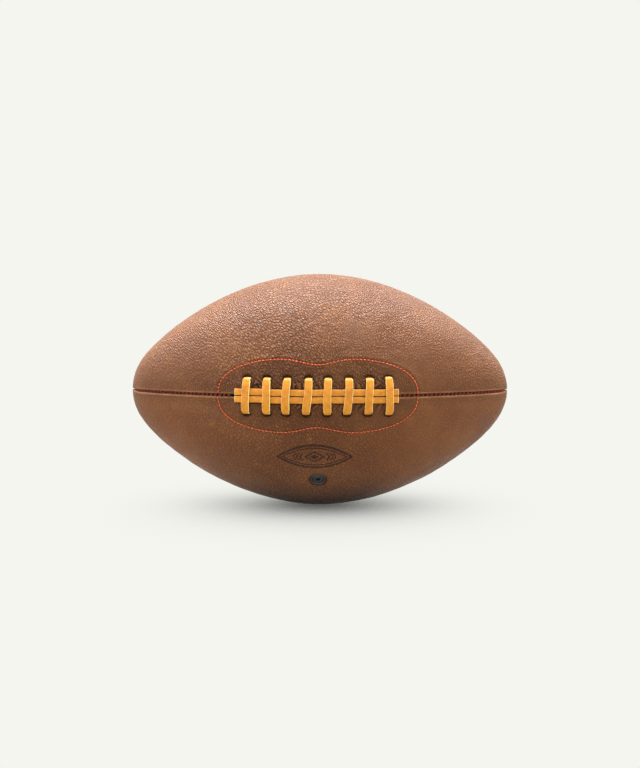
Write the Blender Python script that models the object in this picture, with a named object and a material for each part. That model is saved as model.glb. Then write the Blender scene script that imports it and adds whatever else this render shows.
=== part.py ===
"""A laced leather football with its linings, bladder and push-in valve, lying on its side.

The ball is designed about its own long axis, which is X. In the ball's own axes the laced seam
faces -Y, and the four seams lie in the XY and XZ planes. The empty "ball" then rolls everything
about X, because the ball lies with its laces turned a little upwards.

A place on the ball is given as (x, arc, height): x along the long axis, arc round the ball from the
laced seam, upwards, and height above the leather's outer surface, along the surface's normal.
"""

import math

import bmesh
import bpy
from mathutils import Matrix, Vector

# The ball
BALL_LENGTH = 0.280
BALL_DIAMETER = 0.172
FLANK_TERMS = (1.56, 0.74)  # how much slimmer than an ellipse the flanks are, in x^2 and x^4
LACES_UP = math.radians(4.5)  # how far the ball is rolled, laces upwards, as it lies
RING_STEPS = 32
STATIONS = 20

# Walls, from the outside in
LEATHER = 0.0020
LINING = 0.0008
BLADDER_WALL = 0.0008
FACING = 0.0012
TONGUE = 0.0012
FIT = 0.0003  # clearance between pieces that touch
SEAM_GAP = 0.0003  # between the two flanges of a seam
SEAM_ALLOWANCE = 0.0075  # how deep the turned-in edges of the panels reach
SEAM_VALLEY = 0.0020  # half-width and depth of the valley along a seam

# Lacing
CROSSINGS = 8
LACE_PITCH = 0.0144
LACE_WIDTH = 0.0054
STRAND_WIDTH = 0.0048
LACE_THICKNESS = 0.0014
STRAND_LIFT = 0.00015  # from the leather to the two strands
CROSSING_LIFT = 0.0003  # from the strands to the lace that crosses them
HOLE_ARC = 0.0124  # from the seam to where the lace goes down
LACE_LEAN = 0.0014  # how far the middle crossings lean along the ball
STRAND_OVERHANG = 0.0068  # past the middle of the last crossing
TOP_BEND = 0.0018
UNDER_BEND = 0.0013
SLOT_MARGIN = 0.0009  # what shows of a hole beyond the lace

# Reinforced patch round the lacing
OUTLINE_HALF_LENGTH = 0.0715
OUTLINE_HALF_WIDTH = 0.0273
WAIST_SHARE = 0.176
WAIST_REACH = 0.016
FACING_MARGIN = 0.004  # the facing runs on past its stitching
THREAD_RADIUS = 0.00045
TONGUE_HALF_WIDTH = 0.019
SLIT_MARGIN = 0.002  # the unsewn slit runs on past the strands

# Valve, near the middle of the lower front panel
VALVE_ANGLE = math.radians(46.5)
VALVE_HEAD_RADIUS = 0.00575
VALVE_FLANGE_RADIUS = 0.0120
VALVE_FLANGE = 0.0008
VALVE_STEM_RADIUS = 0.0045
VALVE_LENGTH = 0.018
VALVE_SINK = 0.0002  # the head lies this far below the leather
PLUG_RADIUS = 0.0026
PLUG_HEAD_RADIUS = 0.0039
PLUG_HEAD = 0.0012
NEEDLE_MOUTH_RADIUS = 0.0014
NEEDLE_THROAT_RADIUS = 0.0006
NEEDLE_DEPTH = 0.0045
VALVE_STEPS = 20

# Worked out
HALF = BALL_LENGTH / 2
RADIUS = BALL_DIAMETER / 2
FACET_DIP = RADIUS * (1 - math.cos(math.pi / RING_STEPS))  # how far a flat facet lies inside the round
LEATHER_SIDE = SEAM_GAP / 2
LINING_DEPTH = LEATHER + FIT
LINING_SIDE = LEATHER_SIDE + LEATHER + FIT
BLADDER_DEPTH = LINING_DEPTH + LINING + FIT
BLADDER_SIDE = LINING_SIDE + LINING + FIT
FACING_DEPTH = BLADDER_DEPTH + FACET_DIP + FIT
UNDER_RUN_DEPTH = FACING_DEPTH + FACING + FIT + FIT
TONGUE_DEPTH = UNDER_RUN_DEPTH + LACE_THICKNESS + FIT
BLADDER_CORE_DEPTH = max(TONGUE_DEPTH + TONGUE, SEAM_ALLOWANCE) + FIT + FIT
HALF_LACING = LACE_PITCH * (CROSSINGS - 1) / 2
STRAND_END = HALF_LACING + STRAND_OVERHANG
SLIT_END = STRAND_END + SLIT_MARGIN
FAR = BALL_LENGTH  # the reach of a cutter that has to pass right through

QUARTERS = {"upper_front": (-1, 1), "lower_front": (-1, -1), "upper_back": (1, 1), "lower_back": (1, -1)}
FRONT_QUARTERS = {"upper_front": 1, "lower_front": -1}
SEAM_ANGLES = {"front": 0.0, "top": math.pi / 2, "back": math.pi, "bottom": -math.pi / 2}


# ---------------------------------------------------------------- the ball's surface


def round_place(turn):
    """(x, radius) on the ball's outline. turn runs from 0 at the +X tip to pi at the -X tip."""
    u = math.cos(turn)
    slim = 1 - FLANK_TERMS[0] * u**2 + FLANK_TERMS[1] * u**4
    return Vector((HALF * u, RADIUS * math.sin(turn) * math.sqrt((1 + u**2) * (1 + u**4) * slim)))


def outline_place(turn, height=0.0):
    """(x, radius) at a height above the outline."""
    step = 1e-4
    along = (round_place(turn + step) - round_place(turn - step)).normalized()
    return round_place(turn) + height * Vector((along.y, -along.x))


def on_ball(x, arc, height):
    """The point at (x, arc, height), in the ball's own axes."""
    turn = math.acos(x / HALF)
    place = outline_place(turn, height)
    angle = arc / round_place(turn).y
    return Vector((place.x, -place.y * math.cos(angle), place.y * math.sin(angle)))


def along_seam(turn, angle, side, height):
    """A point near the seam at an angle round the ball, side metres from the seam's own plane."""
    place = outline_place(turn, height)
    return Matrix.Rotation(-angle, 3, "X") @ Vector((place.x, -place.y, side))


def stitch_half_width(x):
    """Half the width of the stitched patch at x: two lobes and a waist."""
    share = min(abs(x) / OUTLINE_HALF_LENGTH, 1.0)
    waist = 1 - WAIST_SHARE * math.exp(-((x / WAIST_REACH) ** 2))
    return OUTLINE_HALF_WIDTH * (1 - share**3) ** 0.43 * waist


def spread(start, end, count):
    """count numbers from start to end, evenly apart."""
    return [start + (end - start) * i / (count - 1) for i in range(count)]


# ---------------------------------------------------------------- making objects


def clear_scene():
    for obj in list(bpy.data.objects):
        bpy.data.objects.remove(obj)


def material(name, colour, roughness, metallic=0.0):
    made = bpy.data.materials.new(name)
    made.use_nodes = True
    made.diffuse_color = (*colour, 1)
    shader = made.node_tree.nodes["Principled BSDF"]
    shader.inputs["Base Color"].default_value = (*colour, 1)
    shader.inputs["Roughness"].default_value = roughness
    shader.inputs["Metallic"].default_value = metallic
    return made


def add(name, data, parent, finish=None):
    """Links a new object. Without a finish it is a cutter, which isn't part of the ball."""
    obj = bpy.data.objects.new(name, data)
    bpy.context.scene.collection.objects.link(obj)
    obj.parent = parent
    if finish is None:
        obj.hide_render = True
        obj.display_type = "WIRE"
    else:
        data.materials.append(finish)
    return obj


def mesh_from(bm, name, smooth_below=None):
    """A mesh from bm, its faces outwards, shaded smooth across edges under that many degrees."""
    bmesh.ops.recalc_face_normals(bm, faces=bm.faces)
    mesh = bpy.data.meshes.new(name)
    bm.to_mesh(mesh)
    bm.free()
    if smooth_below:
        mesh.shade_smooth()
        mesh.set_sharp_from_angle(angle=math.radians(smooth_below))
    return mesh


def turned(name, outline, axis, steps):
    """A solid turned about axis from an open outline that starts and ends on it, or a closed one."""
    bm = bmesh.new()
    points = [bm.verts.new(p) for p in outline]
    on_axis = (outline[0] - outline[0].project(axis)).length < 1e-9
    pairs = list(zip(points, points[1:])) + ([] if on_axis else [(points[-1], points[0])])
    edges = [bm.edges.new(pair) for pair in pairs]
    bmesh.ops.spin(
        bm, geom=points + edges, cent=(0, 0, 0), axis=axis, angle=2 * math.pi, steps=steps, use_merge=True
    )
    bmesh.ops.remove_doubles(bm, verts=bm.verts, dist=1e-7)
    return mesh_from(bm, name, smooth_below=40)


def lofted(name, sections, smooth_below=None):
    """A solid through loops of the same number of points, closed at both ends."""
    bm = bmesh.new()
    loops = [[bm.verts.new(p) for p in section] for section in sections]
    count = len(sections[0])
    for one, other in zip(loops, loops[1:]):
        for i in range(count):
            j = (i + 1) % count
            bm.faces.new((one[i], one[j], other[j], other[i]))
    bm.faces.new(loops[0])
    bm.faces.new(loops[-1])
    return mesh_from(bm, name, smooth_below)


def boxes(name, corners):
    """One mesh of plain boxes, each given by its lowest and highest corner."""
    bm = bmesh.new()
    for low, high in corners:
        size = [b - a for a, b in zip(low, high)]
        middle = [(a + b) / 2 for a, b in zip(low, high)]
        bmesh.ops.create_cube(bm, matrix=Matrix.Translation(middle) @ Matrix.Diagonal((*size, 1)))
    return mesh_from(bm, name)


def tube(name, points, radius, parent, finish):
    """A round thread through the points, as a curve with a bevel and filled ends."""
    curve = bpy.data.curves.new(name, "CURVE")
    curve.dimensions = "3D"
    curve.bevel_depth = radius
    curve.bevel_resolution = 1
    curve.use_fill_caps = True
    spline = curve.splines.new("POLY")
    spline.points.add(len(points) - 1)
    for point, place in zip(spline.points, points):
        point.co = (*place, 1)
    return add(name, curve, parent, finish)


def boolean(obj, cutter, operation="DIFFERENCE"):
    made = obj.modifiers.new(f"{operation.lower()}_{cutter.name}", "BOOLEAN")
    made.operation = operation
    made.object = cutter
    made.solver = "EXACT"
    return made


# ---------------------------------------------------------------- cutters


def ball_solid(name, depth):
    """The whole ball at a depth below its surface, as a turned solid."""
    outline = []
    for turn in spread(0, math.pi, STATIONS + 1):
        place = outline_place(turn, -depth)
        outline.append(Vector((place.x, -place.y, 0)))
    outline[0].y = 0
    outline[-1].y = 0
    return turned(name, outline, Vector((1, 0, 0)), RING_STEPS)


def quarter_box(name, quarter, side):
    """A box that fills one quarter of the space round X, side metres from both seam planes."""
    sign_y, sign_z = QUARTERS[quarter]
    ys = sorted((sign_y * side, sign_y * FAR))
    zs = sorted((sign_z * side, sign_z * FAR))
    return boxes(name, [((-FAR, ys[0], zs[0]), (FAR, ys[1], zs[1]))])


def valley(name, angle):
    """The V along one seam, past both tips of the ball, as a cutter."""
    sections = []
    for turn in spread(0, math.pi, STATIONS + 1):
        sections.append(
            [
                along_seam(turn, angle, -2 * SEAM_VALLEY, SEAM_VALLEY),
                along_seam(turn, angle, 2 * SEAM_VALLEY, SEAM_VALLEY),
                along_seam(turn, angle, 0, -SEAM_VALLEY),
            ]
        )
    past_tip = Matrix.Rotation(-angle, 3, "X") @ Vector((0, SEAM_VALLEY, 0))
    first = [p + past_tip for p in sections[0]]
    last = [p + past_tip for p in sections[-1]]
    return lofted(name, [first, *sections, last])


def slot_places(side):
    """(x, arc) of the lace's eight holes on one side of the seam: 1 is above it, -1 below."""
    places = []
    for i in range(CROSSINGS):
        lean = LACE_LEAN * math.sin(math.pi * (i + 0.5) / CROSSINGS)
        places.append((i * LACE_PITCH - HALF_LACING + side * lean / 2, side * HOLE_ARC))
    return places


def slots(name, side):
    """The lace's holes through leather, lining and facing, as one cutter."""
    bm = bmesh.new()
    inner = LACE_THICKNESS / 2 + FIT + FIT
    outer = LACE_THICKNESS / 2 + SLOT_MARGIN
    half_width = LACE_WIDTH / 2 + FIT
    for x, arc in slot_places(side):
        corners = []
        for height in (-UNDER_RUN_DEPTH, SEAM_VALLEY):
            for dx in (-half_width, half_width):
                for away in (-inner, outer):
                    corners.append(bm.verts.new(on_ball(x + dx, arc + side * away, height)))
        bmesh.ops.convex_hull(bm, input=corners)
    return mesh_from(bm, name)


def valve_frame():
    """The matrix of the valve: its origin on the leather's surface, +Z along the way out."""
    out = on_ball(0, -VALVE_ANGLE * RADIUS, 0)
    return Matrix.Translation(out) @ Matrix.Rotation(math.pi / 2 + VALVE_ANGLE, 4, "X")


def make_cutters(ball):
    """Every cutter, by name."""
    made = {}

    def cutter(name, mesh):
        made[name] = add(f"cut_{name}", mesh, ball)
        return made[name]

    depths = {
        "under_leather": LEATHER,
        "under_lining": LINING_DEPTH + LINING,
        "under_seams": SEAM_ALLOWANCE,
    }
    for name, depth in depths.items():
        cutter(name, ball_solid(f"cut_{name}", depth))
    for name, angle in SEAM_ANGLES.items():
        cutter(f"valley_{name}", valley(f"cut_valley_{name}", angle))
    for quarter, side in FRONT_QUARTERS.items():
        cutter(f"slots_{quarter}", slots(f"cut_slots_{quarter}", side))
    hole = bmesh.new()
    bmesh.ops.create_cone(
        hole,
        cap_ends=True,
        segments=VALVE_STEPS,
        radius1=VALVE_HEAD_RADIUS + FIT,
        radius2=VALVE_HEAD_RADIUS + FIT,
        depth=4 * BLADDER_DEPTH,
    )
    cutter("valve_hole", mesh_from(hole, "cut_valve_hole")).matrix_local = valve_frame()
    slit = ((-SLIT_END, -FAR, -2 * BLADDER_SIDE), (SLIT_END, 0, 2 * BLADDER_SIDE))
    cutter("slit", ball_solid("cut_slit", BLADDER_DEPTH))
    cutter("slit_box", boxes("cut_slit_box", [slit]))
    boolean(made["slit"], made["slit_box"], "INTERSECT")
    return made


# ---------------------------------------------------------------- panels, linings and bladder


def shell_quarter(name, quarter, ball, cutters, depth, wall, side, finish):
    """One of four layers of the shell: a wall under the surface, its edges turned in at both seams."""
    shell = add(name, ball_solid(name, depth), ball, finish)
    outside = add(f"cut_{name}_quarter", quarter_box(f"cut_{name}_quarter", quarter, side), ball)
    hollow = add(f"cut_{name}_hollow", ball_solid(f"cut_{name}_hollow", depth + wall), ball)
    inside = add(f"cut_{name}_inside", quarter_box(f"cut_{name}_inside", quarter, side + wall), ball)
    boolean(hollow, inside, "INTERSECT")
    boolean(shell, outside, "INTERSECT")
    boolean(shell, hollow)
    boolean(shell, cutters["under_seams"])
    if quarter in FRONT_QUARTERS:
        boolean(shell, cutters["slit"])
        boolean(shell, cutters[f"slots_{quarter}"])
    if quarter == "lower_front":
        boolean(shell, cutters["valve_hole"])
    return shell


def make_panels(ball, cutters, finish):
    for quarter, (sign_y, sign_z) in QUARTERS.items():
        panel = shell_quarter(
            f"panel_{quarter}", quarter, ball, cutters, 0, LEATHER, LEATHER_SIDE, finish
        )
        boolean(panel, cutters["valley_front" if sign_y < 0 else "valley_back"])
        boolean(panel, cutters["valley_top" if sign_z > 0 else "valley_bottom"])


def make_linings(ball, cutters, finish):
    for quarter in QUARTERS:
        shell_quarter(
            f"lining_{quarter}", quarter, ball, cutters, LINING_DEPTH, LINING, LINING_SIDE, finish
        )


def bladder_form(name, ball, grown, finish=None):
    """The bladder's outer form, or its hollow where grown is the wall: a core with four lobes that
    press against the linings between the turned-in seams, and a dip behind the lacing."""
    slab = BLADDER_SIDE + grown
    dip_x = OUTLINE_HALF_LENGTH + 2 * FACING_MARGIN + grown
    dip_z = OUTLINE_HALF_WIDTH + 2 * FACING_MARGIN + grown
    form = add(name, ball_solid(name, BLADDER_DEPTH + grown), ball, finish)
    dips = {
        "flat": ((-FAR, -FAR, -slab), (FAR, FAR, slab)),
        "upright": ((-FAR, -slab, -FAR), (FAR, slab, FAR)),
        "lacing": ((-dip_x, -FAR, -dip_z), (dip_x, 0, dip_z)),
    }
    for which, corners in dips.items():
        boolean(form, add(f"cut_{name}_{which}", boxes(f"cut_{name}_{which}", [corners]), ball))
    core = add(f"cut_{name}_core", ball_solid(f"cut_{name}_core", BLADDER_CORE_DEPTH + grown), ball)
    boolean(form, core, "UNION")
    return form


def make_bladder(ball, cutters, finish):
    bladder = bladder_form("bladder", ball, 0, finish)
    boolean(bladder, bladder_form("cut_bladder_hollow", ball, BLADDER_WALL))
    boolean(bladder, cutters["valve_hole"])


# ---------------------------------------------------------------- lacing


def plate(name, half_length, edges, depth, wall, columns, rows, ball, finish):
    """A bent plate under the ball's surface. edges(x) gives its two arcs at x."""
    sections = []
    for turn in spread(-1, 1, columns):
        x = half_length * math.sin(turn * math.pi / 2)
        low, high = edges(x)
        arcs = spread(low, high, rows)
        section = [on_ball(x, arc, -depth) for arc in arcs]
        section += [on_ball(x, arc, -depth - wall) for arc in reversed(arcs)]
        sections.append(section)
    return add(name, lofted(name, sections, smooth_below=40), ball, finish)


def make_facings(ball, cutters, finish):
    """The two patches behind the lace holes, clear of the turned-in seam between them."""
    grow = 1 + FACING_MARGIN / OUTLINE_HALF_LENGTH
    near_seam = BLADDER_SIDE + FIT
    narrowest = near_seam + FACING_MARGIN
    half_length = OUTLINE_HALF_LENGTH

    def edges_for(side):
        def edges(x):
            far = max(stitch_half_width(x / grow) + FACING_MARGIN, narrowest)
            return side * near_seam, side * far

        return edges

    for quarter, side in FRONT_QUARTERS.items():
        name = f"lacing_facing_{quarter.split('_')[0]}"
        facing = plate(
            name, half_length, edges_for(side), FACING_DEPTH, FACING, 19, 4, ball, finish
        )
        boolean(facing, cutters[f"slots_{quarter}"])


def make_tongue(ball, finish):
    """The flap that keeps the lace off the bladder."""
    half_length = SLIT_END - FIT - FIT

    def edges(x):
        half_width = TONGUE_HALF_WIDTH * (0.55 + 0.45 * math.sqrt(1 - (x / half_length) ** 6))
        return -half_width, half_width

    plate("lacing_tongue", half_length, edges, TONGUE_DEPTH, TONGUE, 13, 7, ball, finish)


def make_strands(ball, finish):
    """The two straight runs of lace that lie side by side on the seam."""
    low = STRAND_LIFT
    high = STRAND_LIFT + LACE_THICKNESS
    near = SEAM_GAP / 2
    far = near + STRAND_WIDTH
    for name, side in (("upper", 1), ("lower", -1)):
        corners = [(side * near, low), (side * far, low), (side * far, high), (side * near, high)]
        sections = []
        for x in spread(-STRAND_END, STRAND_END, 15):
            sections.append([on_ball(x, arc, height) for arc, height in corners])
        add(f"lace_strand_{name}", lofted(f"lace_strand_{name}", sections), ball, finish)


def bend(centre, radius, start, end, steps=4):
    """Points (arc, height) on a bend, with angles in degrees."""
    angles = [math.radians(a) for a in spread(start, end, steps)]
    return [(centre[0] + radius * math.cos(a), centre[1] + radius * math.sin(a)) for a in angles]


def crossing_path():
    """(arc, height) of half of one turn of the lace, from under the seam to on top of it."""
    under = -UNDER_RUN_DEPTH - LACE_THICKNESS / 2
    over = STRAND_LIFT + LACE_THICKNESS + CROSSING_LIFT + LACE_THICKNESS / 2
    strand_edge = SEAM_GAP / 2 + STRAND_WIDTH
    shoulder = over - LACE_THICKNESS * 0.6
    turn_in = bend((-HOLE_ARC + UNDER_BEND, under + UNDER_BEND), UNDER_BEND, 270, 180)
    turn_over = bend((-HOLE_ARC + TOP_BEND, shoulder - TOP_BEND), TOP_BEND, 180, 90)
    return [*turn_in, *turn_over, (-strand_edge - LACE_THICKNESS, over), (-strand_edge / 2, over)]


def make_cross_lace(ball, finish):
    """The one lace that is woven up through a lower hole, over the strands, down through the upper
    hole and slantwise under the seam to the next crossing."""
    rising = crossing_path()
    falling = [(-arc, height) for arc, height in reversed(rising)]
    places = []
    for (low_x, _), (high_x, _) in zip(slot_places(-1), slot_places(1)):
        if places:
            start = Vector(places[-1])
            end = Vector((low_x, *rising[0]))
            places += [tuple(start.lerp(end, share)) for share in (0.2, 0.4, 0.6, 0.8)]
        for arc, height in rising + falling:
            share = min(max((arc + HOLE_ARC) / (2 * HOLE_ARC), 0), 1)
            share = share * share * (3 - 2 * share)
            places.append((low_x + (high_x - low_x) * share, arc, height))
    sections = []
    for i, (x, arc, height) in enumerate(places):
        before = places[max(i - 1, 0)]
        after = places[min(i + 1, len(places) - 1)]
        along = Vector((after[1] - before[1], after[2] - before[2])).normalized()
        across = Vector((-along.y, along.x)) * LACE_THICKNESS / 2
        corners = [(-1, -1), (1, -1), (1, 1), (-1, 1)]
        sections.append(
            [
                on_ball(x + dx * LACE_WIDTH / 2, arc + up * across.x, height + up * across.y)
                for dx, up in corners
            ]
        )
    add("cross_lace", lofted("cross_lace", sections, smooth_below=50), ball, finish)


# ---------------------------------------------------------------- thread


def make_outline_stitches(ball, finish):
    """The thread that holds each facing to its panel, in two lobes round the lacing."""
    lift = THREAD_RADIUS + FIT / 2
    start = math.radians(12)
    for name, side in (("upper", 1), ("lower", -1)):
        points = []
        for turn in spread(start, math.pi - start, 37):
            x = OUTLINE_HALF_LENGTH * math.cos(turn)
            points.append(on_ball(x, side * stitch_half_width(x), lift))
        tube(f"outline_stitch_{name}", points, THREAD_RADIUS, ball, finish)


def make_seam_threads(ball, finish):
    """The thread that shows in the valley of each seam. The laced slit leaves the front seam in two."""
    tip = math.asin(4 * THREAD_RADIUS / RADIUS)
    slit = math.acos((SLIT_END + SLIT_MARGIN) / HALF)
    runs = {
        "front_right": ("front", tip, slit),
        "front_left": ("front", math.pi - slit, math.pi - tip),
        "top": ("top", tip, math.pi - tip),
        "back": ("back", tip, math.pi - tip),
        "bottom": ("bottom", tip, math.pi - tip),
    }
    depth = SEAM_VALLEY / 2
    for name, (seam, start, end) in runs.items():
        count = max(8, round(2 * STATIONS * (end - start) / math.pi))
        points = [
            along_seam(turn, SEAM_ANGLES[seam], 0, -depth) for turn in spread(start, end, count)
        ]
        tube(f"seam_thread_{name}", points, THREAD_RADIUS, ball, finish)


# ---------------------------------------------------------------- valve


def make_valve(ball, boot_finish, plug_finish):
    """The boot, whose flange lies inside the bladder's wall, and the plug that is pushed into it."""
    top = -VALVE_SINK
    flange_top = -(BLADDER_DEPTH + BLADDER_WALL + FIT)
    beside = round_place(math.pi / 2 - math.pi / STATIONS)
    fall_along = (RADIUS - beside.y) / beside.x
    fall_round = math.tan(math.pi / RING_STEPS)
    fall = math.hypot(fall_along, fall_round)  # the bladder's flat facets fall away from the valve
    flange_in = flange_top - VALVE_HEAD_RADIUS * fall
    flange_out = flange_top - VALVE_FLANGE_RADIUS * fall
    seat_radius = PLUG_HEAD_RADIUS + FIT
    seat = top - PLUG_HEAD - FIT
    bottom = top - VALVE_LENGTH
    boot_outline = [
        (seat_radius, top),
        (VALVE_HEAD_RADIUS, top),
        (VALVE_HEAD_RADIUS, flange_in),
        (VALVE_FLANGE_RADIUS, flange_out),
        (VALVE_FLANGE_RADIUS, flange_out - VALVE_FLANGE),
        (VALVE_HEAD_RADIUS, flange_out - VALVE_FLANGE),
        (VALVE_STEM_RADIUS, flange_out - 2 * VALVE_FLANGE),
        (VALVE_STEM_RADIUS, bottom),
        (PLUG_RADIUS + FIT, bottom),
        (PLUG_RADIUS + FIT, seat),
        (seat_radius, seat),
    ]
    edge = FIT
    plug_outline = [
        (0, top - NEEDLE_DEPTH),
        (NEEDLE_THROAT_RADIUS, top - NEEDLE_DEPTH + edge),
        (NEEDLE_MOUTH_RADIUS, top - PLUG_HEAD),
        (NEEDLE_MOUTH_RADIUS, top),
        (PLUG_HEAD_RADIUS - edge, top),
        (PLUG_HEAD_RADIUS, top - edge),
        (PLUG_HEAD_RADIUS, top - PLUG_HEAD),
        (PLUG_RADIUS, top - PLUG_HEAD),
        (PLUG_RADIUS, bottom + edge),
        (PLUG_RADIUS - edge, bottom),
        (0, bottom),
    ]
    for name, outline, finish in (
        ("valve_boot", boot_outline, boot_finish),
        ("valve_plug", plug_outline, plug_finish),
    ):
        points = [Vector((radius, 0, height)) for radius, height in outline]
        piece = add(name, turned(name, points, Vector((0, 0, 1)), VALVE_STEPS), ball, finish)
        piece.matrix_local = valve_frame()


def main():
    clear_scene()
    ball = bpy.data.objects.new("ball", None)
    bpy.context.scene.collection.objects.link(ball)
    ball.rotation_euler.x = -LACES_UP
    leather = material("panel_leather", (0.200, 0.098, 0.055), 0.55)
    lining = material("lining_fabric", (0.62, 0.57, 0.47), 0.9)
    rubber = material("bladder_rubber", (0.035, 0.033, 0.033), 0.5)
    boot = material("valve_rubber", (0.030, 0.032, 0.034), 0.45)
    plug = material("plug_rubber", (0.020, 0.021, 0.023), 0.5)
    lace = material("lace_leather", (0.74, 0.33, 0.050), 0.5)
    facing = material("facing_leather", (0.30, 0.17, 0.09), 0.8)
    outline_thread = material("outline_thread", (0.70, 0.085, 0.045), 0.6)
    seam_thread = material("seam_thread", (0.45, 0.022, 0.013), 0.6)
    cutters = make_cutters(ball)
    make_panels(ball, cutters, leather)
    make_linings(ball, cutters, lining)
    make_bladder(ball, cutters, rubber)
    make_facings(ball, cutters, facing)
    make_tongue(ball, facing)
    make_strands(ball, lace)
    make_cross_lace(ball, lace)
    make_outline_stitches(ball, outline_thread)
    make_seam_threads(ball, seam_thread)
    make_valve(ball, boot, plug)


main()
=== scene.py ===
"""The looks of the laced leather football: fine leather, lace, thread and rubber over the CAD frame.

A place on the ball is (x, arc, height), as in the CAD: x along the long axis, arc round the ball from the
laced seam, upwards, and height above the leather's outer surface. Lengths are in metres.
"""

import math

import bmesh
import bpy
import numpy as np
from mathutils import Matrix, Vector


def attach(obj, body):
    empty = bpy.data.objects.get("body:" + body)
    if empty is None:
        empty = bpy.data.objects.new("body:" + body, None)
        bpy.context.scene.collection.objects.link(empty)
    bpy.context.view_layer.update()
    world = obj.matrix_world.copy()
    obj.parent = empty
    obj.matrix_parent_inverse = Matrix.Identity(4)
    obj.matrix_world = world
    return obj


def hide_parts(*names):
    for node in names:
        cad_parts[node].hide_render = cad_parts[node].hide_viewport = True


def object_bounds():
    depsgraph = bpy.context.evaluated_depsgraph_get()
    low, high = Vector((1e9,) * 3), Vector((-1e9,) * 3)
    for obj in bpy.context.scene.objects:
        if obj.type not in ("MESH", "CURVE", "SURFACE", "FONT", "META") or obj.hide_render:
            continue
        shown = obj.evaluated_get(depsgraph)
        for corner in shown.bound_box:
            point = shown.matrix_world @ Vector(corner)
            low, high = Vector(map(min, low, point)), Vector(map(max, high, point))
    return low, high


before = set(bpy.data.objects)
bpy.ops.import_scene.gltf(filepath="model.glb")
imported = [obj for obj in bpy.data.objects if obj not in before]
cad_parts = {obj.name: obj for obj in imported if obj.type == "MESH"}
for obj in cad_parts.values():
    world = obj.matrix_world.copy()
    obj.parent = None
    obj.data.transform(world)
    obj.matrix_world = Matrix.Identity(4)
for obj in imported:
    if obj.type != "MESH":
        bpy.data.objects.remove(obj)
cad_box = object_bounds()

# The ball's surface, as the CAD has it
HALF = 0.140
RADIUS = 0.086
FLANK_TERMS = (1.56, 0.74)
LACES_UP = math.radians(4.5)
QUARTER = math.pi / 2
PANEL_STARTS = {"upper_front": 0, "upper_back": 1, "lower_back": 2, "lower_front": 3}
FRONT_SIDES = {"upper_front": 1, "lower_front": -1}  # which side of the laced seam a panel is on

# Panels
COLUMNS = 600
BODY_ROWS = 136
ROLL_ROWS = 7
INNER_ROWS = 8
TIP_RADIUS = 0.0007  # how small the ring of columns gets at each tip
ROLL_WIDTH = 0.0019  # how far from a seam its rounded edge starts
ROLL_DEPTH = 0.0019
SEAM_GAP = 0.00036
LEATHER = 0.0020
ALLOWANCE = 0.0060

# The leather's unevenness, grain, painted shade and painted highlight
SWELL = 0.00022
SWELL_LENGTH = 0.045
DENT = 0.00008
DENT_LENGTH = 0.010
HIGHLIGHT_WIDTH = 0.0007  # of the painted highlight along the rounded edges
GRAIN_CELLS = 600  # pebbles to a metre
GRAIN_TURN = math.radians(55)  # the way the pebbles are drawn out on one side
GRAIN_MIDDLE = -0.012  # x where the grain is deepest
GRAIN_FADE = (0.015, 0.095)  # how far from there the grain starts and stops getting shallower
LOOKS_CHANGE = (-0.010, 0.0)  # arcs between which the lower panels' looks turn into the upper ones'
PAINTED_BOTTOM_SHADE = 0.85  # how much painted shade darkens the leather along the bottom seam, where the ball is near the floor
BOTTOM_ARC = (0.046, 0.026)  # where that shade ends, away from the seam, and how softly
BOTTOM_X = (0.047, 0.022)  # where it ends along the seam, and how softly

# Lacing
CROSSINGS = 8
LACE_PITCH = 0.0144
HALF_LACING = LACE_PITCH * (CROSSINGS - 1) / 2
HOLE_ARC = 0.0124
LACE_WIDTH = 0.0056
LACE_THICKNESS = 0.0018
STRAND_WIDTH = 0.0047
STRAND_GAP = 0.0004
STRAND_END_LEFT = HALF_LACING + 0.0082
STRAND_END_RIGHT = HALF_LACING + 0.0066
STRAND_LIFT = 0.0001
LACE_LEAN = 0.0014
LACE_UNEVEN = 0.0004
UNDER_DEPTH = 0.0058
TOP_BEND = 0.0027  # radius of the lace's turn over the leather
UNDER_BEND = 0.0015

# Stitches
OUTLINE_HALF_LENGTH = 0.0715
OUTLINE_HALF_WIDTH = 0.0273
OUTLINE_FULLNESS = 0.43  # the lower, the squarer the outline's ends
WAIST_SHARE = 0.176
WAIST_REACH = 0.016
OUTLINE_PITCH = 0.0027
OUTLINE_GAP = 0.00084  # between two stitches
OUTLINE_THREAD = 0.00037  # radius
ON_LEATHER = 0.00005
SEAM_PITCH = 0.0036
SEAM_STITCH = 0.0018
SEAM_THREAD = 0.00046  # radius
SEAM_THREAD_DEPTH = 0.00125

# Relief beside the stitched outline and the lacing
STITCH_DIP = 0.00048
STITCH_DIP_WIDTH = 0.0008
WELT = 0.00018
WELT_OFF = 0.0024  # how far from the stitches the leather swells
WELT_WIDTH = 0.0013
BED_ARC = 0.0055  # how far from the seam the strands press the leather down
BED_DEPTH = 0.00045
HOLE_PULL = 0.00055
HOLE_PULL_SIZE = (0.0038, 0.0032)
HOLE_PIT = 0.0034
HOLE_PIT_SIZE = (0.0031, 0.0020)
HOLE_OFF = 0.0006  # how much farther from the seam than the lace the holes are

# Folds: small ones all along the lacing, and deep ones at a few places
FOLD_ARC = 0.0068
FOLD_WIDTH = 0.0030
FOLD_PITCH = 0.0038
FOLD_WANDER = 0.0016
FOLD_RISE = 0.0007
FOLD_FALL = 0.0012
DEEP_ARC = 0.0088
DEEP_SIZE = (0.0046, 0.0034)
DEEP_PITCH = 0.0042
DEEP_RISE = 0.0013
DEEP_FALL = 0.0022
DEEP_FOLDS = {  # side of the seam: (place as a share of the half lacing, strength)
    1: ((-1.0, 1.0), (1.0, 0.8)),
    -1: ((-0.55, 0.5), (0.2, 0.5)),
}

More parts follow.
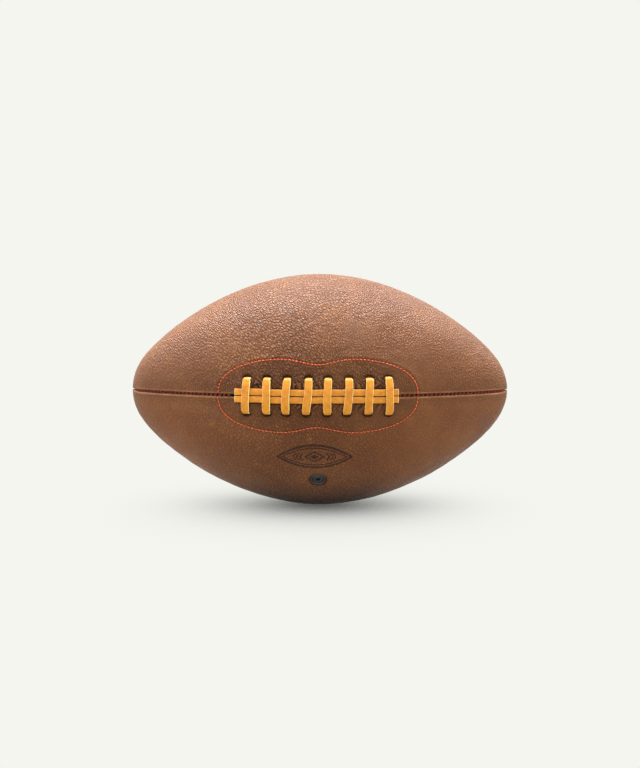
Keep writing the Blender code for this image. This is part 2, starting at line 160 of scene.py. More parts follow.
# Valve
VALVE_ANGLE = math.radians(46.5)
VALVE_HOLE = 0.00590
VALVE_HEAD = 0.00575
VALVE_LENGTH = 0.018
VALVE_TOP = -0.0007
VALVE_NECK = 0.0045
PLUG_RADIUS = 0.0039
PLUG_SHAFT = 0.0026
BOOT_BORE = 0.0029
BOOT_LIP = PLUG_RADIUS + 0.0003
ON_AXIS = 0.00005  # as near to its axis as a turned profile comes

# Stamped mark
STAMP_X = -0.0022
STAMP_ARC = -0.0462
STAMP_HALF_LENGTH = 0.0265
STAMP_HALF_HEIGHT = 0.0098
STAMP_SOFTNESS = 0.00012
STAMP_RINGS = ((0.0, 0.00085), (0.0024, 0.00040))  # (how far inside the lens, half width)
STAMP_DIAMOND = 0.0042
STAMP_CHEVRONS = ((0.0105, 0.00060), (0.0130, 0.00045), (0.0152, 0.00035))  # (x, half width)
CHEVRON_HEIGHT = 0.0032

# Colours
HIDE_DARK = (0.168, 0.0605, 0.0215)
HIDE_LIGHT = (0.222, 0.0845, 0.0305)
HIDE_GINGER = (0.258, 0.104, 0.029)
HIDE_GREY = (0.158, 0.067, 0.036)
HIDE_PAINTED_SHADE = (0.040, 0.013, 0.006)
HIDE_PORE = (0.28, 0.135, 0.07)
HIDE_PATCH = (0.050, 0.020, 0.010)
HIDE_PAINTED_HIGHLIGHT = (0.36, 0.17, 0.07)
HIDE_PAINTED_DEEP_SHADE = (0.012, 0.006, 0.004)
STAMP_INK = (0.018, 0.010, 0.009)
LACE_DARK = (0.50, 0.168, 0.007)
LACE_LIGHT = (0.64, 0.250, 0.012)
LACE_STAIN = (0.37, 0.105, 0.006)
LACE_FLECK = (0.78, 0.38, 0.05)
LACE_CUT = (1.0, 0.78, 0.27)
LACE_BESIDE_CUT = (0.22, 0.060, 0.006)
OUTLINE_RED = ((0.78, 0.135, 0.038), (0.48, 0.052, 0.016))  # (thread, its shade)
SEAM_RED = ((0.42, 0.022, 0.014), (0.20, 0.010, 0.008))
BOOT_BLACK = ((0.014, 0.014, 0.015), (0.040, 0.040, 0.042))  # (rubber, the dust on it)
PLUG_BLACK = ((0.011, 0.011, 0.012), (0.034, 0.034, 0.036))
BLADDER_BLACK = ((0.03, 0.03, 0.03), (0.07, 0.07, 0.07))
CANVAS_DARK = (0.42, 0.37, 0.29)
CANVAS_LIGHT = (0.66, 0.61, 0.51)
CANVAS_STAIN = (0.50, 0.40, 0.27)
SUEDE_DARK = (0.20, 0.105, 0.055)
SUEDE_LIGHT = (0.36, 0.21, 0.12)
BLACK = (0.0, 0.0, 0.0)

# Stage
PAPER = (0.905, 0.913, 0.863)  # the floor and what is behind it
FLOOR_REACH = 40
SHADOW_SIZE = 0.6  # how far from the ball the floor is still in its shadow
SHADOW_FALL = 3.0  # how fast the floor's soft shadow fades away from the ball
SHADOW_DEPTH = 0.97
SHADOW_LEAN = math.radians(20)  # how far behind the ball the light stands
SOFTBOXES = {  # name: (strength, angle across, tilt towards the front, tilt to the side)
    "softbox_above": (16.4, 60, -26, 0),
    "softbox_left": (2.8, 50, 0, -84),
    "softbox_right": (1.5, 50, 0, 84),
    "softbox_front": (1.45, 90, 80, 0),
}
CAMERA_AZIMUTH = math.radians(1.0)
CAMERA_ELEVATION = math.radians(8.0)
CAMERA_DISTANCE = 1.5
CAMERA_TARGET = (0.0003, 0.0, 0.0037)
CAMERA_LENS = 93.9
CAMERA_SENSOR = 36
CAMERA_RANGE = (0.05, 200)


# ---------------------------------------------------------------- the ball's surface


def outline(turn, height=0.0):
    """(x, radius) on the outline at a height, for arrays of turns from 0 to pi."""

    def place(t):
        u = np.cos(t)
        slim = 1 - FLANK_TERMS[0] * u**2 + FLANK_TERMS[1] * u**4
        return HALF * u, RADIUS * np.sin(t) * np.sqrt((1 + u**2) * (1 + u**4) * slim)

    step = 1e-4
    x, radius = place(turn)
    ahead, behind = place(turn + step), place(turn - step)
    along = (ahead[0] - behind[0], ahead[1] - behind[1])
    length = np.hypot(*along)
    return x + height * along[1] / length, radius - height * along[0] / length


def surface(turn, angle, height):
    """Points (..., 3) in the part's frame at an angle round the ball, upwards from the laced side."""
    x, radius = outline(turn, height)
    x, radius, angle = np.broadcast_arrays(x, radius, angle)
    up = angle + LACES_UP
    return np.stack([x, -radius * np.cos(up), radius * np.sin(up)], axis=-1)


def on_ball(x, arc, height):
    """Points (..., 3) in the part's frame at (x, arc, height)."""
    x, arc, height = np.broadcast_arrays(*(np.asarray(v, float) for v in (x, arc, height)))
    turn = np.arccos(np.clip(x / HALF, -1, 1))
    return surface(turn, arc / outline(turn)[1], height)


def run_along(x, y):
    """The distance run along a line of places, at each of them."""
    return np.concatenate([[0], np.cumsum(np.hypot(np.diff(x), np.diff(y)))])


def even_turns(count, start_radius):
    """Turns a constant distance apart along the outline, from tip to tip."""
    off_tip = 0.001
    fine = np.linspace(off_tip, math.pi - off_tip, 8001)
    fine = fine[outline(fine)[1] > start_radius]
    run = run_along(*outline(fine))
    return np.interp(np.linspace(0, run[-1], count), run, fine)


def bell(*shares):
    """1 in the middle, and less and less from there to a few shares away."""
    return np.exp(-sum(share**2 for share in shares))


def eased(share):
    """A share from 0 to 1 that starts and stops softly."""
    return share * share * (3 - 2 * share)


def step_down(value, edge, softness):
    """1 below the edge, 0 above it, with a soft step between."""
    return eased(np.clip((edge + softness - value) / (2 * softness), 0, 1))


def stitch_half_width(x):
    """How far from the seam the stitched outline is at x."""
    share = np.minimum(np.abs(x) / OUTLINE_HALF_LENGTH, 1.0)
    waist = 1 - WAIST_SHARE * bell(x / WAIST_REACH)
    return OUTLINE_HALF_WIDTH * (1 - share**3) ** OUTLINE_FULLNESS * waist


def outline_curve(side, count=500):
    """(x, arc, length) along one half of the stitched outline, evenly apart."""
    turn = np.linspace(0, math.pi, 4001)
    x = OUTLINE_HALF_LENGTH * np.cos(turn)
    arc = side * stitch_half_width(x)
    run = run_along(x, arc)
    at = np.linspace(0, run[-1], count)
    return np.interp(at, run, x), np.interp(at, run, arc), run[-1]


def lumps(x, arc, wavelength, seed, terms=9):
    """A smooth random field from -1 to 1, with lumps about one wavelength apart."""
    rng = np.random.default_rng(seed)
    total = np.zeros(np.broadcast(x, arc).shape)
    for _ in range(terms):
        heading, phase = rng.uniform(0, 2 * math.pi, 2)
        wave = 2 * math.pi / (wavelength * rng.uniform(0.7, 1.5))
        total += np.sin(wave * (x * math.cos(heading) + arc * math.sin(heading)) + phase)
    return total / math.sqrt(terms) / 1.5


# ---------------------------------------------------------------- relief of the front panels


def lace_places(side):
    """x of the lace's holes on one side of the seam."""
    number = np.arange(CROSSINGS)
    lean = LACE_LEAN * np.sin(math.pi * (number + 0.5) / CROSSINGS)
    uneven = LACE_UNEVEN * np.sin(number * 2.3 + side)
    return number * LACE_PITCH - HALF_LACING + side * lean / 2 + uneven


def folds(x, arc, side):
    """(height, crease, ridge) of the small folds where the lace pulls the leather together."""
    away = side * arc
    beside = bell((away - FOLD_ARC) / FOLD_WIDTH) * step_down(np.abs(x), HALF_LACING + 0.004, 0.004)
    wander = FOLD_WANDER * lumps(x, arc, 0.007, 5)
    ridge = np.abs(np.sin(math.pi * (x + wander + 0.5 * away) / FOLD_PITCH))
    patchy = np.clip(0.55 + 0.7 * lumps(x, arc, 0.013, 8), 0, 1) * beside
    crease = (1 - ridge) ** 2 * patchy
    raised = ridge**4 * patchy
    height = FOLD_RISE * ridge * patchy - FOLD_FALL * crease
    for share, strength in DEEP_FOLDS[side]:
        middle = share * (HALF_LACING - LACE_PITCH / 2)
        near = strength * bell((x - middle) / DEEP_SIZE[0], (away - DEEP_ARC) / DEEP_SIZE[1])
        roof = np.abs(x - middle + wander) * 1.3 + away
        ridge = np.abs(np.sin(math.pi * roof / DEEP_PITCH))
        height += near * (DEEP_RISE * ridge - DEEP_FALL * (1 - ridge) ** 2)
        crease = np.maximum(crease, near * (1 - ridge) ** 2)
        raised = np.maximum(raised, near * ridge**4)
    return height, np.clip(crease, 0, 1), np.clip(raised, 0, 1)


def to_outline(x, arc, side):
    """(distance to the stitched outline, whether inside it), with one large distance far from it."""
    away = side * arc
    reach, far = 0.006, 0.05
    near = (np.abs(x) < OUTLINE_HALF_LENGTH + reach) & (away < OUTLINE_HALF_WIDTH + reach)
    near_x, near_arc = x[near], arc[near]
    nearest = np.full(near_x.shape, far)
    for curve_x, curve_arc in zip(*outline_curve(side)[:2]):
        nearest = np.minimum(nearest, np.hypot(near_x - curve_x, near_arc - curve_arc))
    distance = np.full(x.shape, far)
    distance[near] = nearest
    return distance, near & (away < stitch_half_width(x))


def valve_surround(distance):
    """(how deep the leather is, how much shade is painted on it) at a distance from the valve's axis:
    painted shade in the hole and in a ring round it.
    """
    pit = step_down(distance, VALVE_HOLE + 0.0001, 0.00035)
    deep = 0.0008 * pit + 0.0003 * bell((distance - 0.0062) / 0.0018)
    return deep, np.maximum(pit, 0.45 * bell((distance - 0.0066) / 0.0010))


def front_relief(x, arc, side):
    """(height, painted shade, patch, raised) over a front panel: folds, lace holes, stitches and valve
    hole. The shade is painted in the fold creases, beside the strands and in and round the holes.
    """
    away = side * arc
    distance, inside = to_outline(x, arc, side)
    height = -STITCH_DIP * bell(distance / STITCH_DIP_WIDTH)
    height += WELT * bell((distance - WELT_OFF) / WELT_WIDTH)
    fold, crease, raised = folds(x, arc, side)
    bed = step_down(away, BED_ARC, 0.0006) * step_down(np.abs(x), STRAND_END_RIGHT, 0.002)
    height += fold - BED_DEPTH * bed
    # painted shade: the strands' shadow on the leather under and beside them, and shade in the fold creases
    painted_shade = np.maximum(0.75 * bed, 0.8 * crease)
    for hole in lace_places(side):
        along = np.abs(x - hole)
        across = away - HOLE_ARC - HOLE_OFF
        pull = bell(along / HOLE_PULL_SIZE[0], across / HOLE_PULL_SIZE[1])
        pit = step_down(np.hypot(along / HOLE_PIT_SIZE[0], across / HOLE_PIT_SIZE[1]), 1.0, 0.12)
        height -= HOLE_PULL * pull + HOLE_PIT * pit
        # painted shade in each lace hole and round it
        painted_shade = np.maximum(painted_shade, np.maximum(pit, 0.3 * pull))
    patch = np.where(inside, np.clip(distance / 0.003, 0, 1), 0.0)
    if side < 0:
        deep, shade = valve_surround(np.hypot(x, arc + VALVE_ANGLE * RADIUS))
        height -= deep
        painted_shade = np.maximum(painted_shade, shade)
    return height, painted_shade, patch, raised


# ---------------------------------------------------------------- making meshes


def mesh_object(name, points, faces, finish, attributes=None):
    """An object from points and faces. Attributes hold a number or a vector for each point."""
    mesh = bpy.data.meshes.new(name)
    mesh.from_pydata(np.asarray(points, float).reshape(-1, 3).tolist(), [], faces)
    for key, values in (attributes or {}).items():
        kind = "FLOAT_VECTOR" if np.ndim(values) == 2 else "FLOAT"
        layer = mesh.attributes.new(key, kind, "POINT")
        field = "vector" if kind == "FLOAT_VECTOR" else "value"
        layer.data.foreach_set(field, np.asarray(values, np.float32).ravel())
    mesh.materials.append(finish)
    mesh.shade_smooth()
    made = bpy.data.objects.new(name, mesh)
    bpy.context.scene.collection.objects.link(made)
    return made


def loft_faces(columns, rows, capped=True):
    """Quads between neighbouring loops of points, and one face to close each end."""
    here = np.arange(columns - 1)[:, None] * rows + np.arange(rows)[None, :]
    beside = np.arange(columns - 1)[:, None] * rows + (np.arange(rows) + 1)[None, :] % rows
    faces = np.stack([here, beside, beside + rows, here + rows], axis=-1).reshape(-1, 4).tolist()
    if capped:
        faces.append(list(range(rows))[::-1])
        faces.append(list(range((columns - 1) * rows, columns * rows)))
    return faces


def facing_out(made):
    """The object, with its faces turned outwards."""
    bm = bmesh.new()
    bm.from_mesh(made.data)
    bmesh.ops.recalc_face_normals(bm, faces=bm.faces)
    bm.to_mesh(made.data)
    bm.free()
    return made


def settle(made, body, node):
    """The piece faces outwards, rides on a body and stands in for a CAD node, which is hidden."""
    facing_out(made)
    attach(made, body)
    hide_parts(node)


def ribbon(name, centres, ups, sides, widths, thickness, finish, pale=1.0):
    """A flat lace through centres, with rounded edges. Its cut edges and ends get the attribute cut."""
    rounding, thinning = 0.3, 0.22  # how square its section is, and how much thinner its edges are
    around = np.linspace(0, 2 * math.pi, 28, endpoint=False)
    across = np.sign(np.cos(around)) * np.abs(np.cos(around)) ** rounding
    high = np.sign(np.sin(around)) * np.abs(np.sin(around)) ** rounding
    cut_from, cut_softness, flat_from, far_side = 0.86, 0.06, 0.97, 0.45
    edge = pale * np.clip((np.abs(across) - cut_from) / cut_softness, 0, 1) * (np.abs(high) < flat_from)
    edge *= np.where(across > 0, 1.0, far_side)
    points, cut = [], []
    sections = [(0, 0.5), (0, 0.9), *((i, 1.0) for i in range(len(centres))), (-1, 0.9), (-1, 0.5)]
    for i, scale in sections:
        wide = across[:, None] * sides[i] * widths[i] / 2 * scale
        thick = (high * (1 - thinning * across**2))[:, None] * ups[i] * thickness / 2 * scale
        points.append(centres[i] + wide + thick)
        at_end = scale < 1 or i in (0, -1, len(centres) - 1)
        cut.append(np.ones_like(edge) if at_end else edge)
    faces = loft_faces(len(sections), len(around))
    return mesh_object(name, np.concatenate(points), faces, finish, {"cut": np.concatenate(cut)})


def tubes(name, paths, radius, finish, sides=8):
    """One mesh of short round threads. Each path is (points, radius shares)."""
    points, faces = [], []
    around = np.linspace(0, 2 * math.pi, sides, endpoint=False)
    for path, shares in paths:
        along = np.gradient(path, axis=0)
        along /= np.linalg.norm(along, axis=1, keepdims=True)
        out = path.mean(axis=0) * (0, 1, 1)
        one = np.cross(along, out / np.linalg.norm(out))
        one /= np.linalg.norm(one, axis=1, keepdims=True)
        other = np.cross(along, one)
        ring = np.cos(around)[None, :, None] * one[:, None] + np.sin(around)[None, :, None] * other[:, None]
        first = sum(len(p) for p in points)
        points.append((path[:, None] + ring * radius * shares[:, None, None]).reshape(-1, 3))
        faces += [[i + first for i in face] for face in loft_faces(len(path), sides)]
    return mesh_object(name, np.concatenate(points), faces, finish)


def turned(name, profile, finish, steps=72):
    """A solid of revolution on the valve's axis, from (radius, height above the leather)."""
    axis_turn, axis_angle = math.pi / 2, -VALVE_ANGLE
    centre = surface(np.array(axis_turn), np.array(axis_angle), 0.0)
    out = surface(np.array(axis_turn), np.array(axis_angle), 1.0) - centre
    one = np.array((1.0, 0, 0))
    other = np.cross(out, one)
    around = np.linspace(0, 2 * math.pi, steps, endpoint=False)
    ring = np.cos(around)[:, None] * one + np.sin(around)[:, None] * other
    points = [centre + radius * ring + height * out for radius, height in profile]
    closed = profile[0] == profile[-1]
    if closed:
        points = points[:-1]
    faces = loft_faces(len(points), steps, capped=not closed)
    if closed:
        last = (len(points) - 1) * steps
        for i in range(steps):
            j = (i + 1) % steps
            faces.append([last + i, last + j, j, i])
    return mesh_object(name, np.concatenate(points), faces, finish)


# ---------------------------------------------------------------- material nodes


class Finish:
    """A node material under construction."""

    def __init__(self, name):
        self.material = bpy.data.materials.new(name)
        self.material.use_nodes = True
        self.tree = self.material.node_tree
        self.shader = self.tree.nodes["Principled BSDF"]
        self.place = self.add("ShaderNodeTexCoord").outputs["Object"]

    def put(self, socket, value):
        """Links a socket to the value, or sets the value on it."""
        if isinstance(value, bpy.types.NodeSocket):
            self.tree.links.new(value, socket)
        else:
            socket.default_value = value

    def add(self, kind, settings=None, **inputs):
        """A new node with its settings and inputs."""
        made = self.tree.nodes.new(kind)
        for key, value in (settings or {}).items():
            setattr(made, key, value)
        for key, value in inputs.items():
            self.put(made.inputs[key.replace("_", " ")], value)
        return made

    def sum(self, operation, one, other=0.0):
        made = self.add("ShaderNodeMath", {"operation": operation})
        self.put(made.inputs[0], one)
        self.put(made.inputs[1], other)
        return made.outputs[0]

    def noise(self, scale, detail=3.0, roughness=0.55):
        inputs = {"Vector": self.place, "Scale": scale, "Detail": detail, "Roughness": roughness}
        return self.add("ShaderNodeTexNoise", **inputs).outputs["Fac"]

    def cells(self, scale, places):
        """The distance to the nearest edge between two cells."""
        settings = {"feature": "DISTANCE_TO_EDGE"}
        return self.add("ShaderNodeTexVoronoi", settings, Vector=places, Scale=scale).outputs["Distance"]

    def spread(self, value, low, high, out_low=0.0, out_high=1.0):
        """Goes softly from out_low to out_high while the value goes from low to high."""
        made = self.add(
            "ShaderNodeMapRange",
            {"interpolation_type": "SMOOTHSTEP"},
            Value=value,
            From_Min=low,
            From_Max=high,
            To_Min=out_low,
            To_Max=out_high,
        )
        return made.outputs["Result"]

    def mixed(self, share, one, other):
        """A colour between two colours."""
        made = self.add("ShaderNodeMix", {"data_type": "RGBA"})
        self.put(made.inputs[0], share)
        self.put(made.inputs[6], (*one, 1) if isinstance(one, tuple) else one)
        self.put(made.inputs[7], (*other, 1) if isinstance(other, tuple) else other)
        return made.outputs[2]

    def blended(self, share, one, other):
        """A number between two numbers."""
        made = self.add("ShaderNodeMix", {"data_type": "FLOAT"})
        self.put(made.inputs[0], share)
        self.put(made.inputs[2], one)
        self.put(made.inputs[3], other)
        return made.outputs[0]

    def attribute(self, name, output="Fac"):
        return self.add("ShaderNodeAttribute", {"attribute_name": name}).outputs[output]

    def wave(self, direction, scale, distortion):
        settings = {"wave_type": "BANDS", "bands_direction": direction}
        inputs = {"Vector": self.place, "Scale": scale, "Distortion": distortion}
        return self.add("ShaderNodeTexWave", settings, **inputs).outputs["Fac"]

    def bent(self, places, scale, amount):
        """The places, pushed about by noise, so that cells aren't regular."""
        push = self.add("ShaderNodeTexNoise", Vector=places, Scale=scale, Detail=2.0)
        made = self.add("ShaderNodeVectorMath", {"operation": "MULTIPLY_ADD"})
        self.put(made.inputs[0], push.outputs["Color"])
        self.put(made.inputs[1], (amount, amount, amount))
        self.put(made.inputs[2], places)
        return made.outputs["Vector"]

    def stretched(self, turn, scale):
        """Places on the skin, turned and stretched, so that cells lie along one diagonal."""
        places = self.bent(self.attribute("skin", "Vector"), 170.0, 0.0016)
        inputs = {"Vector": places, "Rotation": (0, 0, turn), "Scale": scale}
        return self.add("ShaderNodeMapping", {"vector_type": "TEXTURE"}, **inputs).outputs["Vector"]

    def bump(self, height, distance, strength):
        made = self.add("ShaderNodeBump", Height=height, Distance=distance, Strength=strength)
        self.put(self.shader.inputs["Normal"], made.outputs["Normal"])

    def looks(self, **inputs):
        """Sets the shader's inputs and gives the material."""
        for key, value in inputs.items():
            if key == "Base_Color" and isinstance(value, tuple):
                value = (*value, 1)
            self.put(self.shader.inputs[key.replace("_", " ")], value)
        return self.material


def stamp_mask(f):
    """A generic stamped mark: a long lens outline with a diamond and chevrons in it."""
    flat = f.add("ShaderNodeSeparateXYZ", Vector=f.attribute("flat", "Vector"))
    x = f.sum("ABSOLUTE", f.sum("SUBTRACT", flat.outputs["X"], STAMP_X))
    y = f.sum("ABSOLUTE", f.sum("SUBTRACT", flat.outputs["Y"], STAMP_ARC))

    def line(distance, half_width):
        low, high = half_width - STAMP_SOFTNESS, half_width + STAMP_SOFTNESS
        return f.spread(f.sum("ABSOLUTE", distance), low, high, 1.0, 0.0)

    share = f.sum("DIVIDE", x, STAMP_HALF_LENGTH)
    bulge = f.sum("SUBTRACT", 1.0, f.sum("MULTIPLY", share, share))
    off_lens = f.sum("SUBTRACT", y, f.sum("MULTIPLY", bulge, STAMP_HALF_HEIGHT))
    rings = [line(f.sum("ADD", off_lens, inset), half_width) for inset, half_width in STAMP_RINGS]
    rings = f.sum("MULTIPLY", f.sum("MAXIMUM", *rings), f.sum("LESS_THAN", x, STAMP_HALF_LENGTH + 0.0004))
    diamond = f.sum("SUBTRACT", f.sum("ADD", f.sum("MULTIPLY", x, 0.62), y), STAMP_DIAMOND)
    core = f.spread(f.sum("ADD", diamond, 0.0022), -STAMP_SOFTNESS, STAMP_SOFTNESS, 1.0, 0.0)
    marks = f.sum("MAXIMUM", line(diamond, 0.00060), core)
    short = f.sum("LESS_THAN", y, CHEVRON_HEIGHT)
    for place, half_width in STAMP_CHEVRONS:
        chevron = f.sum("SUBTRACT", f.sum("ADD", x, f.sum("MULTIPLY", y, 0.6)), place)
        marks = f.sum("MAXIMUM", marks, f.sum("MULTIPLY", line(chevron, half_width), short))
    worn = f.spread(f.noise(700, 2.0), 0.28, 0.5, 0.45, 1.0)
    near = f.sum("LESS_THAN", y, STAMP_HALF_HEIGHT + 0.002)
    return f.sum("MULTIPLY", f.sum("MULTIPLY", f.sum("MAXIMUM", rings, marks), near), worn)


def leather_grain(f, along):
    """The pebbles: drawn out along one diagonal on the left, upright on the right, small in patches."""
    drawn = f.spread(f.cells(GRAIN_CELLS, f.stretched(-GRAIN_TURN, (2.0, 1.0, 1.0))), 0.0, 0.34)
    upright = f.stretched(-1.5 * GRAIN_TURN, (1.7, 1.0, 1.0))
    pebbles = f.spread(f.cells(1.1 * GRAIN_CELLS, upright), 0.0, 0.34)
    small = f.spread(f.cells(1.6 * GRAIN_CELLS, f.bent(f.place, 260, 0.0014)), 0.0, 0.32)
    wander = f.spread(f.noise(14, 2.0), 0.3, 0.7, -0.05, 0.05)
    left = f.spread(f.sum("ADD", along, wander), 0.0, 0.05, 1.0, 0.0)
    grain = f.blended(left, pebbles, drawn)
    return f.blended(f.spread(f.noise(19, 2.0), 0.52, 0.72, 0.0, 0.6), grain, small)


def panel_leather():
    f = Finish("pebbled_leather")
    along = f.add("ShaderNodeSeparateXYZ", Vector=f.place).outputs["X"]
    upwards = f.add("ShaderNodeSeparateXYZ", Vector=f.attribute("flat", "Vector")).outputs["Y"]
    grain = leather_grain(f, along)
    pores = f.noise(2600, 3.0, 0.6)
    stamp = stamp_mask(f)
    far = f.spread(f.sum("ABSOLUTE", f.sum("SUBTRACT", along, GRAIN_MIDDLE)), *GRAIN_FADE)
    depth = f.sum("SUBTRACT", 1.0, f.sum("MULTIPLY", far, 0.58))
    depth = f.sum("MULTIPLY", depth, f.spread(upwards, *LOOKS_CHANGE, 0.8, 1.0))
    height = f.sum("MULTIPLY", f.sum("MULTIPLY", grain, 1.1), depth)
    height = f.sum("ADD", height, f.sum("MULTIPLY", pores, 0.35))
    height = f.sum("ADD", height, f.sum("MULTIPLY", f.noise(240, 3.0), 0.4))
    f.bump(f.sum("SUBTRACT", height, f.sum("MULTIPLY", stamp, 0.9)), 0.0009, 1.0)

    layers = (  # (share, colour), each over the ones before
        (f.spread(f.noise(70, 5.0, 0.65), 0.52, 0.74, 0.0, 0.55), HIDE_GINGER),
        (f.spread(f.noise(38, 3.0), 0.56, 0.76, 0.0, 0.45), HIDE_GREY),
        # painted shade in the grain's valleys
        (f.sum("MULTIPLY", f.spread(grain, 0.0, 0.7, 0.62, 0.0), depth), HIDE_PAINTED_SHADE),
        (f.spread(pores, 0.5, 0.72, 0.0, 0.22), HIDE_PORE),
        # painted shade towards the ends of the ball, stronger on the upper panels
        (f.sum("MULTIPLY", far, f.spread(upwards, *LOOKS_CHANGE, 0.03, 0.34)), HIDE_PAINTED_SHADE),
        (f.sum("MULTIPLY", f.attribute("patch"), 0.23), HIDE_PATCH),
        # painted highlight along the rounded edges and on the fold ridges
        (f.sum("MULTIPLY", f.attribute("edge"), 0.8), HIDE_PAINTED_HIGHLIGHT),
        # painted shade in the seams, fold creases, lace holes, valve hole, beside the strands and along the
        # bottom
        (f.attribute("painted_shade"), HIDE_PAINTED_DEEP_SHADE),
        (f.sum("MULTIPLY", stamp, 0.8), STAMP_INK),
    )
    colour = f.mixed(f.spread(f.noise(22, 4.0), 0.35, 0.68), HIDE_DARK, HIDE_LIGHT)
    for share, tint in layers:
        colour = f.mixed(share, colour, tint)
    rough = f.spread(f.noise(90, 3.0), 0.3, 0.7, 0.36, 0.50)
    f.looks(Specular_IOR_Level=0.09, Sheen_Weight=0.02, Sheen_Roughness=0.3)
    return f.looks(Base_Color=colour, Roughness=rough)


def lace_leather():
    f = Finish("golden_lace")
    grain = f.noise(1500, 4.0, 0.6)
    streaks = f.noise(320, 4.0, 0.65)
    cut = f.attribute("cut")
    beside_cut = f.sum("ABSOLUTE", f.sum("SUBTRACT", cut, 0.2))
    layers = (  # (share, colour), each over the ones before
        (f.spread(f.noise(130, 3.0), 0.52, 0.74, 0.0, 0.5), LACE_STAIN),
        (f.spread(grain, 0.56, 0.72, 0.0, 0.3), LACE_FLECK),
        (f.sum("MULTIPLY", cut, f.spread(streaks, 0.3, 0.6, 0.75, 1.0)), LACE_CUT),
        (f.spread(beside_cut, 0.05, 0.18, 0.6, 0.0), LACE_BESIDE_CUT),
    )
    colour = f.mixed(f.spread(streaks, 0.3, 0.7), LACE_DARK, LACE_LIGHT)
    for share, tint in layers:
        colour = f.mixed(share, colour, tint)
    f.bump(f.sum("ADD", grain, f.sum("MULTIPLY", streaks, 0.6)), 0.00012, 0.7)
    rough = f.spread(streaks, 0.3, 0.7, 0.38, 0.55)
    return f.looks(Base_Color=colour, Roughness=rough, Specular_IOR_Level=0.35)


def thread(name, colour, shade):
    f = Finish(name)
    twist = f.wave("DIAGONAL", 420.0, 0.6)
    mix = f.mixed(f.spread(twist, 0.1, 0.7), shade, colour)
    mix = f.mixed(f.spread(f.noise(160, 2.0), 0.4, 0.7, 0.0, 0.35), mix, shade)
    f.bump(twist, 0.00012, 0.8)
    return f.looks(Base_Color=mix, Roughness=0.6, Specular_IOR_Level=0.3, Sheen_Weight=0.2)


def rubber(name, colour, dust, rough):
    f = Finish(name)
    dusty = f.spread(f.noise(500, 5.0, 0.65), 0.5, 0.72, 0.0, 0.5)
    mix = f.mixed(dusty, colour, dust)
    f.bump(f.sum("ADD", f.noise(2400, 3.0), f.noise(300, 2.0)), 0.00010, 0.6)
    return f.looks(Base_Color=mix, Roughness=f.spread(f.noise(220), 0.3, 0.7, rough, rough + 0.15))


def canvas():
    f = Finish("canvas_lining")
    woven = f.sum("MULTIPLY", f.wave("X", 330.0, 0.4), f.wave("Z", 330.0, 0.4))
    colour = f.mixed(f.spread(woven, 0.0, 0.6), CANVAS_DARK, CANVAS_LIGHT)
    colour = f.mixed(f.spread(f.noise(40, 3.0), 0.5, 0.7, 0.0, 0.3), colour, CANVAS_STAIN)
    f.bump(woven, 0.0003, 0.8)
    return f.looks(Base_Color=colour, Roughness=0.9)


def suede():
    f = Finish("suede_facing")
    nap = f.noise(1300, 5.0, 0.7)
    colour = f.mixed(f.spread(nap, 0.35, 0.65), SUEDE_DARK, SUEDE_LIGHT)
    f.bump(nap, 0.0003, 0.8)
    return f.looks(Base_Color=colour, Roughness=0.92, Sheen_Weight=0.25)


# ---------------------------------------------------------------- panels


def body_shares(side):
    """Rows across a panel as shares of its width, closer together near the laced seam."""

    def closer_at_start(share):
        return 0.45 * share + 0.55 * share**2.6

    share = np.linspace(0, 1, BODY_ROWS + 2)[1:-1]
    if side > 0:
        return closer_at_start(share)
    if side < 0:
        return 1 - closer_at_start(1 - share)
    return share


def roll_depth(radius):
    """How deep a panel's rounded edges reach, less and less towards the tips."""
    return np.minimum(ROLL_DEPTH, 0.30 * radius * QUARTER)


def outer_rows(radius, side):
    """(arc from the panel's first seam, height) of its outer rows, with a rounded edge at both seams."""
    width = radius * QUARTER
    roll = np.minimum(ROLL_WIDTH, 0.22 * width)
    quarter_turn = np.linspace(0, math.pi / 2, ROLL_ROWS + 1)[None, :-1]
    out = roll * (1 - np.cos(quarter_turn)) + SEAM_GAP
    fall = -roll_depth(radius) * (1 - np.sin(quarter_turn))
    body = roll + SEAM_GAP + (width - 2 * roll - 2 * SEAM_GAP) * body_shares(side)[None, :]
    along = np.concatenate([out, body, (width - out)[:, ::-1]], axis=1)
    height = np.concatenate([fall, np.zeros_like(body), fall[:, ::-1]], axis=1)
    return along, height


def inner_wall(turn, radius, start):
    """Points of the rows down the turned-in edges and across the inside of the leather."""
    deep = np.minimum(ALLOWANCE, 0.55 * radius)
    wall = np.minimum(LEATHER, 0.30 * radius)
    gap = np.full_like(radius, SEAM_GAP)

    def offset(side, level):
        """The angle from a seam to a place beside it, at a level under the surface."""
        at = np.maximum(outline(turn, level)[1], 0.3 * radius)
        return np.minimum(side / at, QUARTER * 0.45)

    edge = [(gap, -(roll_depth(radius) + deep) / 2), (gap, -deep), (gap + wall, -deep)]
    corner = offset(gap + wall, -wall)
    across = np.linspace(1, 0, INNER_ROWS)
    rows = [(start + (QUARTER - offset(*place)), place[1]) for place in edge]
    rows += [(start + corner + (QUARTER - 2 * corner) * share, -wall) for share in across]
    rows += [(start + offset(*place), place[1]) for place in reversed(edge)]
    angles, heights = zip(*rows)
    return surface(turn, np.concatenate(angles, axis=1), np.concatenate(heights, axis=1))


